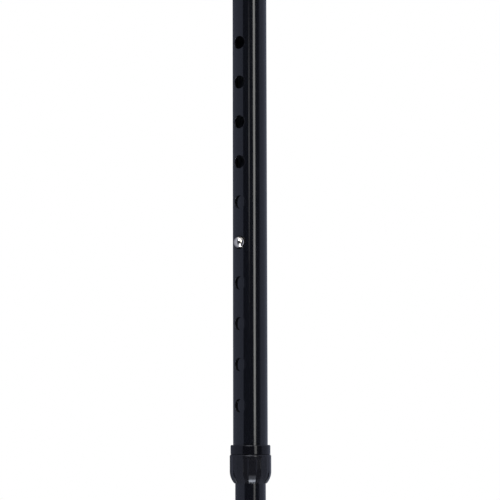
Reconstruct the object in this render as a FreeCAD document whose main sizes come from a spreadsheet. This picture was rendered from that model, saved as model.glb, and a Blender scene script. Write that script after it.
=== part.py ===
import FreeCAD, Part
import math
import os

import Sketcher
from FreeCAD import Placement, Rotation, Vector

# Quad walking cane. +Z is up and z = 0 is the floor. The origin is the middle of the
# base's footprint. The user walks towards +X, and the adjustment holes face -Y.

DIMENSIONS = {
    "overall_height": 864.0,
    "hole_pitch": 25.4,
    "hole_count": 10.0,
    "hole_dia": 8.2,
    "holes_below_button": 4.0,
    "outer_tube_dia": 21.6,
    "inner_tube_dia": 19.0,
    "tube_wall": 1.2,
    "shaft_side": -12.0,
    "button_height": 452.0,
    "button_dia": 7.6,
    "button_stand": 3.2,
    "inner_above_button": 36.0,
    "hole_to_collar": 24.2,
    "collar_ring_dia": 24.8,
    "collar_ring_height": 5.8,
    "nut_dia": 25.8,
    "nut_height": 17.8,
    "nut_taper_height": 7.4,
    "nut_rib_count": 10.0,
    "nut_first_flute": 8.5,
    "neck_lean": 42.0,
    "neck_reach": 78.0,
    "neck_upright": 12.0,
    "first_bend": 55.0,
    "second_bend": 42.0,
    "top_bend": 34.0,
    "grip_length": 118.0,
    "grip_dia": 33.0,
    "grip_flange_dia": 37.0,
    "finger_count": 4.0,
    "finger_pitch": 23.0,
    "first_finger": 25.0,
    "finger_depth": 1.8,
    "leg_dia": 15.9,
    "leg_wall": 1.5,
    "leg_height": 100.0,
    "leg_shoulder": 34.0,
    "leg_splay": 22.0,
    "foot_reach": 88.0,
    "foot_side": 62.0,
    "straddle": 24.0,
    "tip_dia": 30.0,
    "tip_height": 33.0,
    "tip_floor": 5.5,
    "washer_thick": 1.5,
    "socket_dia": 25.4,
    "plate_thick": 3.0,
    "plate_length": 64.0,
    "plate_width": 38.0,
    "plate_corner": 8.0,
    "bolt_dia": 6.0,
    "bolt_flats": 10.0,
}

doc = FreeCAD.newDocument("quad_cane")
sheet = doc.addObject("Spreadsheet::Sheet", "dims")
for row, (alias, number) in enumerate(DIMENSIONS.items(), start=1):
    sheet.set(f"A{row}", alias)
    sheet.set(f"B{row}", str(number))
    sheet.setAlias(f"B{row}", alias)
doc.recompute()


class Size:
    """A length: its number, and the expression on the sheet that drives it."""

    def __init__(self, value, text):
        self.value = value
        self.text = text

    def __add__(self, other):
        other = as_size(other)
        return Size(self.value + other.value, f"({self.text} + {other.text})")

    def __sub__(self, other):
        other = as_size(other)
        return Size(self.value - other.value, f"({self.text} - {other.text})")

    def __mul__(self, other):
        other = as_size(other)
        return Size(self.value * other.value, f"({self.text} * {other.text})")

    def __truediv__(self, other):
        other = as_size(other)
        return Size(self.value / other.value, f"({self.text} / {other.text})")

    def __neg__(self):
        return self * -1


def as_size(number):
    return number if isinstance(number, Size) else Size(float(number), f"({float(number)})")


def dim(alias):
    return Size(sheet.get(alias), f"dims.{alias}")


def sine(angle):
    return Size(math.sin(math.radians(angle.value)), f"sin({angle.text} * 1 deg)")


def cosine(angle):
    return Size(math.cos(math.radians(angle.value)), f"cos({angle.text} * 1 deg)")


ZERO = as_size(0)


# ---- building blocks ----


def place(thing, across, side, up):
    for axis, size in (("x", across), ("y", side), ("z", up)):
        thing.setExpression(f"Placement.Base.{axis}", as_size(size).text)


def new_body(label, across, side, up):
    part = doc.addObject("PartDesign::Body", label)
    part.Label = label
    place(part, across, side, up)
    return part


def origin_item(part, role):
    """The body's own plane or axis with this role, such as XY_Plane or Z_Axis."""
    return next(item for item in part.Origin.OriginFeatures if item.Role == role)


def sketch_on(part, role, name):
    drawn = part.newObject("Sketcher::SketchObject", f"{part.Name}_{name}")
    drawn.AttachmentSupport = [(origin_item(part, role), "")]
    drawn.MapMode = "FlatFace"
    return drawn


def bind(drawn, constraint, size):
    index = drawn.addConstraint(constraint)
    drawn.setExpression(f"Constraints[{index}]", size.text)


def pin(drawn, geometry, point, across, up):
    """Hold one point of a sketch at two sizes from the sketch's origin."""
    for kind, size, axis in (("DistanceX", across, -2), ("DistanceY", up, -1)):
        if size.value == 0:
            drawn.addConstraint(Sketcher.Constraint("PointOnObject", geometry, point, axis))
        else:
            bind(drawn, Sketcher.Constraint(kind, -1, 1, geometry, point, size.value), size)


def arc_centre(start, stop, radius, side):
    chord = stop - start
    rise = math.sqrt(radius**2 - (chord.Length / 2) ** 2)
    left = Vector(-chord.y, chord.x, 0).normalize()
    return (start + stop) * 0.5 + left * rise * side


def polar(vector):
    return math.atan2(vector.y, vector.x)


def outline(drawn, corners):
    """Closed outline. A corner is (across, up), or (across, up, radius, side) where an arc
    starts that curves to the left (side 1) or to the right (side -1)."""
    corners = [tuple(as_size(item) for item in corner) for corner in corners]
    flat = [Vector(corner[0].value, corner[1].value, 0) for corner in corners]
    ends = []
    for number, corner in enumerate(corners):
        start = flat[number]
        stop = flat[(number + 1) % len(corners)]
        if len(corner) == 2:
            ends.append((drawn.addGeometry(Part.LineSegment(start, stop)), 1, 2))
            continue
        radius, side = corner[2], corner[3].value
        centre = arc_centre(start, stop, radius.value, side)
        circle = Part.Circle(centre, Vector(0, 0, 1), radius.value)
        first, last = (start, stop) if side > 0 else (stop, start)
        arc = Part.ArcOfCircle(circle, polar(first - centre), polar(last - centre))
        index = drawn.addGeometry(arc)
        ends.append((index, 1, 2) if side > 0 else (index, 2, 1))
        bind(drawn, Sketcher.Constraint("Radius", index, radius.value), radius)
    for (index, _, out), (after, into, _) in zip(ends, ends[1:] + ends[:1]):
        drawn.addConstraint(Sketcher.Constraint("Coincident", index, out, after, into))
    for (index, into, _), corner in zip(ends, corners):
        pin(drawn, index, into, corner[0], corner[1])


def circle_at(drawn, across, up, radius):
    across, up, radius = as_size(across), as_size(up), as_size(radius)
    centre = Vector(across.value, up.value, 0)
    index = drawn.addGeometry(Part.Circle(centre, Vector(0, 0, 1), radius.value))
    bind(drawn, Sketcher.Constraint("Radius", index, radius.value), radius)
    if across.value == 0 and up.value == 0:
        drawn.addConstraint(Sketcher.Constraint("Coincident", index, 3, -1, 1))
    else:
        pin(drawn, index, 3, across, up)


def pad(part, drawn, length, name="pad", symmetric=False):
    made = part.newObject("PartDesign::Pad", f"{part.Name}_{name}")
    made.Profile = drawn
    made.SideType = "Symmetric" if symmetric else "One side"
    made.setExpression("Length", as_size(length).text)
    doc.recompute()
    return made


def pocket(part, drawn, length=None, name="pocket", turned_round=False, symmetric=False):
    """Cut a sketch out of the body, right through where no length is given."""
    before = part.Shape.Volume
    made = part.newObject("PartDesign::Pocket", f"{part.Name}_{name}")
    made.Profile = drawn
    made.SideType = "Symmetric" if symmetric else "One side"
    made.Reversed = turned_round
    if length is None:
        made.Type = "ThroughAll"
    else:
        made.setExpression("Length", as_size(length).text)
    doc.recompute()
    if not part.Shape.Volume < before:
        raise RuntimeError(f"{made.Name} cuts nothing")
    return made


def ring_pad(label, outer, inner, length, *spot):
    """Plain tube or ring, standing on its own XY plane."""
    part = new_body(label, *spot)
    drawn = sketch_on(part, "XY_Plane", "ring")
    circle_at(drawn, 0, 0, outer)
    circle_at(drawn, 0, 0, inner)
    pad(part, drawn, length)
    return part


def turned(label, corners, *spot, axis="V_Axis"):
    """Body turned from an outline in the XZ plane: radius across, height up."""
    part = new_body(label, *spot)
    drawn = sketch_on(part, "XZ_Plane", "outline")
    outline(drawn, corners)
    made = part.newObject("PartDesign::Revolution", f"{label}_turn")
    made.Profile = drawn
    made.ReferenceAxis = (drawn, [axis])
    made.Angle = 360
    doc.recompute()
    return part


def cross_hole(part, height, radius, both_walls, name="cross_hole"):
    """Round hole along Y: through both walls, or through the -Y wall only."""
    drawn = sketch_on(part, "XZ_Plane", f"{name}_sketch")
    circle_at(drawn, 0, height, radius)
    if both_walls:
        return pocket(part, drawn, dim("socket_dia") * 2, name, symmetric=True)
    return pocket(part, drawn, dim("outer_tube_dia"), name, turned_round=True)


def round_edges(part, radius, wanted, name="round"):
    """Fillet the edges of the body that the test picks."""
    feature = part.Tip
    picked = [f"Edge{n}" for n, edge in enumerate(feature.Shape.Edges, start=1) if wanted(edge)]
    made = part.newObject("PartDesign::Fillet", f"{part.Name}_{name}")
    made.Base = (feature, picked)
    made.setExpression("Radius", as_size(radius).text)
    doc.recompute()
    return made


# ---- sizes that follow from the sheet ----

shaft_side = dim("shaft_side")
outer_r = dim("outer_tube_dia") / 2
outer_bore_r = outer_r - dim("tube_wall")
inner_r = dim("inner_tube_dia") / 2
inner_bore_r = inner_r - dim("tube_wall")
hole_r = dim("hole_dia") / 2
button_z = dim("button_height")
last_hole_z = button_z - dim("holes_below_button") * dim("hole_pitch")
collar_top = last_hole_z - dim("hole_to_collar")
nut_top = collar_top - dim("collar_ring_height")
nut_bottom = nut_top - dim("nut_height")
nut_r = dim("nut_dia") / 2
tube_in_collar = as_size(11)
thread_r = as_size(11.7)
thread_gap = as_size(0.08)
seat_height = as_size(4)
ring_height = as_size(4.6)
skirt_bottom = nut_bottom + seat_height + ring_height + 0.1
upper_tube_bottom = collar_top - tube_in_collar
plate_top = dim("leg_height") - dim("leg_dia") / 2
socket_r = dim("socket_dia") / 2
socket_height = as_size(50)
socket_bore_r = inner_r + 0.05
leg_r = dim("leg_dia") / 2
leg_axis = socket_r + leg_r + 0.02
bolt_z = plate_top + 35
bolt_r = dim("bolt_dia") / 2
bolt_hole_r = bolt_r + 0.2
grip_z = dim("overall_height") - dim("grip_flange_dia") / 2


# ---- inner shaft ----


def lower_tube():
    """Inner tube: it stands on the lower hub plate and slides in the outer tube."""
    length = button_z + dim("inner_above_button") - plate_top
    spot = (ZERO, shaft_side, plate_top)
    part = ring_pad("lower_tube", inner_r, inner_bore_r, length, *spot)
    button_hole_r = dim("button_dia") / 2 + 0.1
    cross_hole(part, button_z - plate_top, button_hole_r, False, "button_hole")
    cross_hole(part, bolt_z - plate_top, bolt_hole_r, True, "bolt_hole")
    return part


def guide_bush():
    """Nylon bush: a skirt in the inner tube and a flange that runs in the outer tube."""
    flange_r = outer_bore_r - 0.05
    bore_r = inner_bore_r - 1.6
    corners = [
        (bore_r, -12),
        (inner_bore_r - 0.3, -12),
        (inner_bore_r, -11),
        (inner_bore_r, ZERO),
        (flange_r, ZERO),
        (flange_r, 2),
        (flange_r - 0.8, 2.8),
        (bore_r, 2.8),
    ]
    top = button_z + dim("inner_above_button")
    return turned("guide_bush", corners, ZERO, shaft_side, top)


def lock_button():
    """Snap button: domed pin with a flange that holds it behind the inner tube's wall."""
    pin_r = dim("button_dia") / 2
    dome_top = outer_r + dim("button_stand")
    corners = [
        (ZERO, 5.85),
        (4.5, 5.85),
        (4.5, 6.8),
        (pin_r, 6.8),
        (pin_r, dome_top - pin_r, pin_r, 1),
        (ZERO, dome_top),
    ]
    part = turned("lock_button", corners, ZERO, shaft_side, button_z)
    part.Placement = Placement(part.Placement.Base, Rotation(Vector(1, 0, 0), 90))
    return part


def button_spring():
    """Folded leaf spring: one leaf carries the button, the other bears on the far wall."""
    thick = 0.5
    corners = [
        (-5.8, 7),
        (-5.8, -12),
        (-1.2, -46),
        (ZERO, -47.5),
        (1.2, -46),
        (7.4, 2),
        (7.4 - thick, 2),
        (1.1 - thick, -44),
        (-1.1 + thick, -44),
        (-5.8 + thick, -12),
        (-5.8 + thick, 7),
    ]
    part = new_body("button_spring", ZERO, shaft_side, button_z)
    drawn = sketch_on(part, "YZ_Plane", "leaf")
    outline(drawn, corners)
    pad(part, drawn, 6, symmetric=True)
    return part


# ---- outer shaft ----


def upper_tube():
    """Outer tube: straight shaft, swan neck and the level end inside the grip."""
    part = new_body("upper_tube", ZERO, shaft_side, upper_tube_bottom)
    lean = dim("neck_lean")
    first, second, top = dim("first_bend"), dim("second_bend"), dim("top_bend")
    upright = dim("neck_upright")
    slant = (dim("neck_reach") - (first + second) * (as_size(1) - cosine(lean))) / sine(lean)
    rise = (first + second) * sine(lean) + slant * cosine(lean) + upright + top
    straight = grip_z - upper_tube_bottom - rise
    level = dim("grip_length") - 6
    path = sketch_on(part, "XZ_Plane", "path")
    radians = math.radians(lean.value)
    runs = [(0.0, straight), (radians, slant), (0.0, upright), (-math.pi / 2, level)]
    turns = [first, second, top]
    here = Vector(0, 0, 0)
    pieces = []
    for number, (heading, length) in enumerate(runs):
        ahead = Vector(math.sin(heading), math.cos(heading), 0)
        there = here + ahead * length.value
        pieces.append(path.addGeometry(Part.LineSegment(here, there)))
        here = there
        if number == len(turns):
            break
        turning = runs[number + 1][0] - heading
        inward = Vector(ahead.y, -ahead.x, 0) * math.copysign(turns[number].value, turning)
        centre = here + inward
        swing = Rotation(Vector(0, 0, 1), -math.degrees(turning))
        halfway = Rotation(Vector(0, 0, 1), -math.degrees(turning) / 2)
        here = centre + swing.multVec(here - centre)
        middle = centre + halfway.multVec(there - centre)
        pieces.append(path.addGeometry(Part.Arc(there, middle, here)))
    for before, after in zip(pieces, pieces[1:]):
        nearest = min(
            ((a, b) for a in (1, 2) for b in (1, 2)),
            key=lambda ends: (path.getPoint(before, ends[0]) - path.getPoint(after, ends[1])).Length,
        )
        path.addConstraint(Sketcher.Constraint("Tangent", before, nearest[0], after, nearest[1]))
    pin(path, pieces[0], 1, ZERO, ZERO)
    path.addConstraint(Sketcher.Constraint("Vertical", pieces[0]))
    path.addConstraint(Sketcher.Constraint("Vertical", pieces[4]))
    path.addConstraint(Sketcher.Constraint("Horizontal", pieces[6]))
    for piece, (_, length) in zip(pieces[::2], runs):
        bind(path, Sketcher.Constraint("Distance", piece, length.value), length)
    for piece, radius in zip(pieces[1::2], turns):
        bind(path, Sketcher.Constraint("Radius", piece, radius.value), radius)
    across = dim("neck_reach") - second * (as_size(1) - cosine(lean))
    bind(path, Sketcher.Constraint("DistanceX", -1, 1, pieces[2], 2, across.value), across)
    section = sketch_on(part, "XY_Plane", "section")
    circle_at(section, 0, 0, outer_r)
    circle_at(section, 0, 0, outer_bore_r)
    doc.recompute()
    sweep = part.newObject("PartDesign::AdditivePipe", "upper_tube_sweep")
    sweep.Profile = section
    sweep.Spine = path
    doc.recompute()
    drilled = cross_hole(part, last_hole_z - upper_tube_bottom, hole_r, False, "adjusting_hole")
    before = part.Shape.Volume
    column = part.newObject("PartDesign::LinearPattern", "upper_tube_hole_column")
    column.Originals = [drilled]
    column.Direction = (origin_item(part, "Z_Axis"), [""])
    column.setExpression("Length", (dim("hole_pitch") * (dim("hole_count") - 1)).text)
    column.setExpression("Occurrences", "dims.hole_count")
    part.Tip = column
    doc.recompute()
    if not part.Shape.Volume < before:
        raise RuntimeError("the column of holes is missing")
    return part


def tube_ferrule():
    """Ring at the outer tube's end with a threaded skirt below, its thread drawn plain."""
    ring_r = dim("collar_ring_dia") / 2
    ring_low = -dim("collar_ring_height")
    skirt_low = skirt_bottom - collar_top
    rounding = as_size(1.2)
    corners = [
        (outer_bore_r, skirt_low),
        (thread_r - 0.5, skirt_low),
        (thread_r, skirt_low + 0.5),
        (thread_r, ring_low),
        (ring_r, ring_low),
        (ring_r, -rounding, rounding, 1),
        (ring_r - rounding, ZERO),
        (outer_r, ZERO),
        (outer_r, -tube_in_collar),
        (outer_bore_r, -tube_in_collar),
    ]
    return turned("tube_ferrule", corners, ZERO, shaft_side, collar_top)


def lock_nut():
    """Nut of the collar: straight body, rounded taper below and flutes all round."""
    taper = dim("nut_taper_height")
    mouth_r = inner_r + thread_gap
    foot_r = as_size(10.1)
    inset = nut_r - foot_r
    taper_radius = (inset * inset + taper * taper) / (inset * 2)
    top = dim("nut_height") - 0.05
    thread_low = seat_height + ring_height
    corners = [
        (mouth_r, ZERO),
        (foot_r, ZERO, taper_radius, 1),
        (nut_r, taper),
        (nut_r, top - 0.5),
        (nut_r - 0.5, top),
        (thread_r + thread_gap, top),
        (thread_r + thread_gap, thread_low),
        (thread_r - 0.3, thread_low),
        (thread_r - 0.3, seat_height),
        (mouth_r, seat_height),
    ]
    part = turned("lock_nut", corners, ZERO, shaft_side, nut_bottom)
    cutter_r = as_size(1.6)
    cutter_out = nut_r + cutter_r - 0.5
    turn = dim("nut_first_flute")
    flute = sketch_on(part, "XY_Plane", "flute")
    circle_at(flute, cutter_out * cosine(turn), cutter_out * sine(turn), cutter_r)
    cut = pocket(part, flute, top - 1.2, "flute_cut", turned_round=True)
    before = part.Shape.Volume
    around = part.newObject("PartDesign::PolarPattern", "lock_nut_flutes")
    around.Originals = [cut]
    around.Axis = (origin_item(part, "Z_Axis"), [""])
    around.Angle = 360
    around.setExpression("Occurrences", "dims.nut_rib_count")
    part.Tip = around
    doc.recompute()
    if not part.Shape.Volume < before:
        raise RuntimeError("the nut's flutes are missing")
    return part


def grip_ring():
    """Split nylon ring in the nut, which is squeezed on to the inner tube."""
    spot = (ZERO, shaft_side, nut_bottom + seat_height)
    part = ring_pad("grip_ring", thread_r - 0.4, inner_r + thread_gap, ring_height, *spot)
    slit = sketch_on(part, "XY_Plane", "slit")
    outline(slit, [(6, -0.8), (14, -0.8), (14, 0.8), (6, 0.8)])
    pocket(part, slit, None, "slit_cut", turned_round=True)
    return part


def handle_grip():
    """Moulded grip: flange towards the neck, a palm swell, finger hollows and a closed end."""
    length = dim("grip_length")
    palm_r = dim("grip_dia") / 2
    flange_r = dim("grip_flange_dia") / 2
    swell = as_size(1)
    waist_r = palm_r - swell
    half_palm = (length - 22) / 2
    swell_radius = (half_palm * half_palm + swell * swell) / (swell * 2)
    end_r = as_size(5)
    inside = length - 6
    corners = [
        (ZERO, outer_r),
        (ZERO, flange_r - 1.5),
        (-1.5, flange_r),
        (-5, flange_r),
        (-10, waist_r, swell_radius, 1),
        (-(length - 12), waist_r),
        (-(length - 7), waist_r + 1.2),
        (-(length - end_r), waist_r + 1.2, end_r, 1),
        (-length, waist_r + 1.2 - end_r),
        (-length, ZERO),
        (-inside, ZERO),
        (-inside, outer_r),
    ]
    start = dim("neck_reach") - dim("top_bend")
    part = turned("handle_grip", corners, start, shaft_side, grip_z, axis="H_Axis")
    hollow_r = as_size(16)
    hollow_z = -(palm_r + hollow_r - dim("finger_depth"))
    drawn = sketch_on(part, "XZ_Plane", "finger_hollows")
    for finger in range(int(dim("finger_count").value)):
        circle_at(drawn, -(dim("finger_pitch") * finger + dim("first_finger")), hollow_z, hollow_r)
    pocket(part, drawn, flange_r * 4, "finger_cut", symmetric=True)
    return part


# ---- base ----


def base_socket():
    """Short steel tube, welded to both plates, that holds the foot of the shaft."""
    spot = (ZERO, shaft_side, plate_top)
    part = ring_pad("base_socket", socket_r, socket_bore_r, socket_height, *spot)
    cross_hole(part, bolt_z - plate_top, bolt_hole_r, True, "bolt_hole")
    return part


def hub_plate(label, up, bore_r):
    """Steel plate across both leg tubes; the upper one has a hole for the socket."""
    half_long = dim("plate_length") / 2
    half_wide = dim("plate_width") / 2
    part = new_body(label, ZERO, shaft_side, up)
    drawn = sketch_on(part, "XY_Plane", "plate")
    outline(
        drawn,
        [
            (-half_long, -half_wide),
            (half_long, -half_wide),
            (half_long, half_wide),
            (-half_long, half_wide),
        ],
    )
    if bore_r is not None:
        circle_at(drawn, 0, 0, bore_r)
    pad(part, drawn, dim("plate_thick"))
    round_edges(part, dim("plate_corner"), lambda e: e.BoundBox.ZLength > 1 and len(e.Vertexes) == 2)
    return part


def rounded_path(corners, radii):
    """Wire of straight runs joined by tangent arcs of the given radii."""
    edges = []
    here = corners[0]
    for corner, after, radius in zip(corners[1:-1], corners[2:], radii):
        coming = (corner - here).normalize()
        going = (after - corner).normalize()
        turn = coming.getAngle(going)
        setback = radius * math.tan(turn / 2)
        inward = (going - coming).normalize()
        start = corner - coming * setback
        stop = corner + going * setback
        middle = corner + inward * (radius / math.cos(turn / 2) - radius)
        edges.append(Part.LineSegment(here, start).toShape())
        edges.append(Part.Arc(start, middle, stop).toShape())
        here = stop
    edges.append(Part.LineSegment(here, corners[-1]).toShape())
    return Part.Wire(edges)


def leg_tube(label, fore):
    """Bent tube with two legs: down to one foot, level past the socket, down to the other."""
    reach = fore * dim("foot_reach").value
    near_hub = fore * leg_axis.value
    side = dim("foot_side").value
    low = (dim("tip_floor") + dim("washer_thick")).value
    high = dim("leg_height").value
    half_run = dim("straddle").value
    middle = shaft_side.value
    shoulder, splay = dim("leg_shoulder").value, dim("leg_splay").value
    corners = [
        Vector(reach, side, low),
        Vector(reach, side, high),
        Vector(near_hub, middle + half_run, high),
        Vector(near_hub, middle - half_run, high),
        Vector(reach, -side, high),
        Vector(reach, -side, low),
    ]
    path = rounded_path(corners, [shoulder, splay, splay, shoulder])
    up = Vector(0, 0, 1)

    def rod(radius):
        ring = Part.Wire(Part.makeCircle(radius, corners[0], up))
        return path.makePipeShell([ring], True, False)

    solid = rod(leg_r.value).cut(rod(leg_r.value - dim("leg_wall").value))
    section = math.pi * (leg_r.value**2 - (leg_r.value - dim("leg_wall").value) ** 2)
    print(f"{label}: volume is {solid.Volume / (section * path.Length):.4f} of section x length")
    part = doc.addObject("Part::Feature", label)
    part.Label = label
    part.Shape = solid
    part.Placement = Placement(Vector(0, 0, 0), Rotation())
    return part


def rubber_tip(label, fore, side):
    """Rubber foot: tread rings below, a wide foot and a tapered neck over the leg's end."""
    foot_r = dim("tip_dia") / 2
    height = dim("tip_height")
    floor = dim("tip_floor")
    groove = 0.8
    corners = [
        (ZERO, ZERO),
        (4, ZERO),
        (4, groove),
        (5.5, groove),
        (5.5, ZERO),
        (8.5, ZERO),
        (8.5, groove),
        (10, groove),
        (10, ZERO),
        (foot_r - 0.6, ZERO),
        (foot_r, 0.6),
        (foot_r, 5),
        (foot_r - 1.2, 6.4),
        (foot_r - 3.2, 9),
        (leg_r + 3, height - 2),
        (leg_r + 2, height),
        (leg_r, height),
        (leg_r, floor),
        (ZERO, floor),
    ]
    return turned(label, corners, dim("foot_reach") * fore, dim("foot_side") * side, ZERO)


def grouped(label, pieces):
    """One sub-part of several separate solids."""
    part = doc.addObject("Part::Compound", label)
    part.Label = label
    part.Links = pieces
    return part


def round_piece(name, radius, height, centre, along_side=False):
    piece = doc.addObject("Part::Cylinder", name)
    piece.setExpression("Radius", as_size(radius).text)
    piece.setExpression("Height", as_size(height).text)
    if along_side:
        piece.Placement = Placement(Vector(), Rotation(Vector(1, 0, 0), -90))
    place(piece, *centre)
    return piece


def cut_piece(name, base, tool):
    piece = doc.addObject("Part::Cut", name)
    piece.Base = base
    piece.Tool = tool
    return piece


def tip_washers():
    """Steel discs that keep the tube ends from cutting through the rubber."""
    washers = []
    for fore in (1, -1):
        for side in (1, -1):
            spot = (dim("foot_reach") * fore, dim("foot_side") * side, dim("tip_floor"))
            name = f"tip_washer_{len(washers)}"
            disc = round_piece(name + "_disc", leg_r - 0.1, dim("washer_thick"), spot)
            hole = round_piece(name + "_hole", 3.2, dim("washer_thick"), spot)
            washers.append(cut_piece(name, disc, hole))
    return grouped("tip_washers", washers)


def six_sided(name, height, start_side):
    piece = doc.addObject("Part::Prism", name)
    piece.Polygon = 6
    across_corners = dim("bolt_flats") / 2 / cosine(as_size(30))
    piece.setExpression("Circumradius", across_corners.text)
    piece.setExpression("Height", as_size(height).text)
    piece.Placement = Placement(Vector(), Rotation(Vector(1, 0, 0), -90))
    place(piece, ZERO, start_side, bolt_z)
    return piece


washer_thick = as_size(1.2)
bolt_head = as_size(4)
nut_thick = as_size(5)
near_washer = shaft_side - socket_r - washer_thick
far_nut = shaft_side + socket_r + washer_thick


def base_bolt():
    """Hexagon screw through socket and shaft, its thread drawn plain."""
    head = six_sided("base_bolt_head", bolt_head, near_washer - bolt_head)
    length = socket_r * 2 + washer_thick * 2 + nut_thick + 2
    shank = round_piece("base_bolt_shank", bolt_r, length, (ZERO, near_washer, bolt_z), True)
    part = doc.addObject("Part::Fuse", "base_bolt")
    part.Label = "base_bolt"
    part.Base = head
    part.Tool = shank
    return part


def base_nut():
    blank = six_sided("base_nut_blank", nut_thick, far_nut)
    bore = round_piece("base_nut_bore", bolt_r, nut_thick, (ZERO, far_nut, bolt_z), True)
    part = cut_piece("base_nut", blank, bore)
    part.Label = "base_nut"
    return part


def base_washers():
    """One washer under the screw's head and one under the nut."""
    washers = []
    for start in (near_washer, far_nut - washer_thick):
        spot = (ZERO, start, bolt_z)
        name = f"base_washer_{len(washers)}"
        disc = round_piece(name + "_disc", 6, washer_thick, spot, True)
        hole = round_piece(name + "_hole", bolt_hole_r, washer_thick, spot, True)
        washers.append(cut_piece(name, disc, hole))
    return grouped("base_washers", washers)


# ---- assembly ----

parts = [
    lower_tube(),
    guide_bush(),
    lock_button(),
    button_spring(),
    upper_tube(),
    tube_ferrule(),
    lock_nut(),
    grip_ring(),
    handle_grip(),
    base_socket(),
    hub_plate("lower_hub_plate", plate_top - dim("plate_thick") - 0.01, None),
    hub_plate("upper_hub_plate", dim("leg_height") + leg_r + 0.01, socket_r + 0.02),
    leg_tube("front_leg_tube", 1),
    leg_tube("rear_leg_tube", -1),
    rubber_tip("front_left_tip", 1, 1),
    rubber_tip("front_right_tip", 1, -1),
    rubber_tip("rear_left_tip", -1, 1),
    rubber_tip("rear_right_tip", -1, -1),
    tip_washers(),
    base_bolt(),
    base_nut(),
    base_washers(),
]
doc.recompute()

for item in doc.Objects:
    if "Invalid" in item.State or "Error" in item.State:
        raise RuntimeError(f"{item.Name} failed: {item.State}")
for part in parts:
    if part.Shape.isNull() or not part.Shape.isValid() or not part.Shape.Solids:
        raise RuntimeError(f"{part.Label} has no valid solid")

os.makedirs("parts", exist_ok=True)
for part in parts:
    part.Shape.exportStep(f"parts/{part.Label}.step")
print(f"{len(parts)} sub-parts written")
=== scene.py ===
import math

import bmesh
import bpy
import numpy as np
from mathutils import Matrix, Vector


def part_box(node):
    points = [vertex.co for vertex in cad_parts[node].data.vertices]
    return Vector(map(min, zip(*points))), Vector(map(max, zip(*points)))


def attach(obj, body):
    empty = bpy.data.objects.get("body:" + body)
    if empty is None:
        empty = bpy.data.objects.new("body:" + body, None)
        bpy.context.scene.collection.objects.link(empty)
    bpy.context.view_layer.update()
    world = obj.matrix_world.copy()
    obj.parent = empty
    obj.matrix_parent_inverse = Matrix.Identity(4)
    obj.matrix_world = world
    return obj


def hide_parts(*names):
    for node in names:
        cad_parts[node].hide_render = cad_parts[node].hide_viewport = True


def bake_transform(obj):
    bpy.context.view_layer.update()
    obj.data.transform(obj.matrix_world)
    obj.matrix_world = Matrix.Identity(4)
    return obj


# Looks of a quad walking cane. Everything is in metres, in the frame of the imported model.

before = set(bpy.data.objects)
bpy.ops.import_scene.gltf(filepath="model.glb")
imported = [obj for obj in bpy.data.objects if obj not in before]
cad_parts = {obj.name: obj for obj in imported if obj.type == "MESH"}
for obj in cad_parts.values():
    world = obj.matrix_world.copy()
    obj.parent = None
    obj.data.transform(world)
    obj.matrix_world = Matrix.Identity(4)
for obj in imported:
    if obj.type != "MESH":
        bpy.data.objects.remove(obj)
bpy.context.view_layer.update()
mm = 0.001
print("frame loaded:", len(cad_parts), "nodes")


def boxOf(node):
    low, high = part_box(node)
    return np.array(low), np.array(high)


def middleOf(node):
    low, high = boxOf(node)
    return (low + high) / 2


# Places that more than one piece needs, read from the frame.
lowerLow, lowerHigh = boxOf("lower_tube")
upperLow, upperHigh = boxOf("upper_tube")
shaftX, shaftY = middleOf("lower_tube")[:2]
lowerRadius = (lowerHigh[0] - lowerLow[0]) / 2
upperRadius = (upperHigh[1] - upperLow[1]) / 2
buttonHeight = middleOf("lock_button")[2]
gripLow, gripHigh = boxOf("handle_grip")
gripHeight = gripHigh[2] - (gripHigh[1] - gripLow[1]) / 2


# Turns an sRGB hex text into linear red, green, blue and alpha.
def linearColour(hexText):
    value = np.array([int(hexText[k:k + 2], 16) for k in (1, 3, 5)]) / 255
    linear = np.where(value <= 0.04045, value / 12.92, ((value + 0.055) / 1.055) ** 2.4)
    return (*[float(part) for part in linear], 1.0)


# Adds one node: settings are its own fields, inputs its socket values, links what feeds it.
def addNode(tree, kind, inputs=None, links=None, **settings):
    node = tree.nodes.new(kind)
    for key, value in settings.items():
        setattr(node, key, value)
    for key, value in (inputs or {}).items():
        node.inputs[key].default_value = value
    for key, socket in (links or {}).items():
        tree.links.new(socket, node.inputs[key])
    return node


# A Principled surface. Values that are the same all over go straight on its own sockets.
def newMaterial(name, **surface):
    material = bpy.data.materials.new(name)
    material.use_nodes = True
    tree = material.node_tree
    tree.nodes.clear()
    shader = addNode(tree, "ShaderNodeBsdfPrincipled", inputs=surface)
    addNode(tree, "ShaderNodeOutputMaterial", links={"Surface": shader.outputs["BSDF"]})
    place = addNode(tree, "ShaderNodeTexCoord")
    return material, tree, shader, place.outputs["Object"]


# Noise of a given size in metres, and its value spread over a range of roughness.
def unevenGloss(tree, shader, place, size, rough, detail=2.0):
    grain = addNode(tree, "ShaderNodeTexNoise", links={"Vector": place},
                    inputs={"Scale": 1 / size, "Detail": detail})
    gloss = addNode(tree, "ShaderNodeMapRange", links={"Value": grain.outputs["Fac"]},
                    inputs={"From Min": 0.35, "From Max": 0.65,
                            "To Min": rough[0], "To Max": rough[1]})
    tree.links.new(gloss.outputs["Result"], shader.inputs["Roughness"])
    return grain.outputs["Fac"]


# Raises a surface by a pattern, depth in metres.
def raiseBy(tree, shader, pattern, depth, sunk=False):
    bump = addNode(tree, "ShaderNodeBump", links={"Height": pattern},
                   inputs={"Strength": 1.0, "Distance": depth}, invert=sunk)
    tree.links.new(bump.outputs["Normal"], shader.inputs["Normal"])


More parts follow.
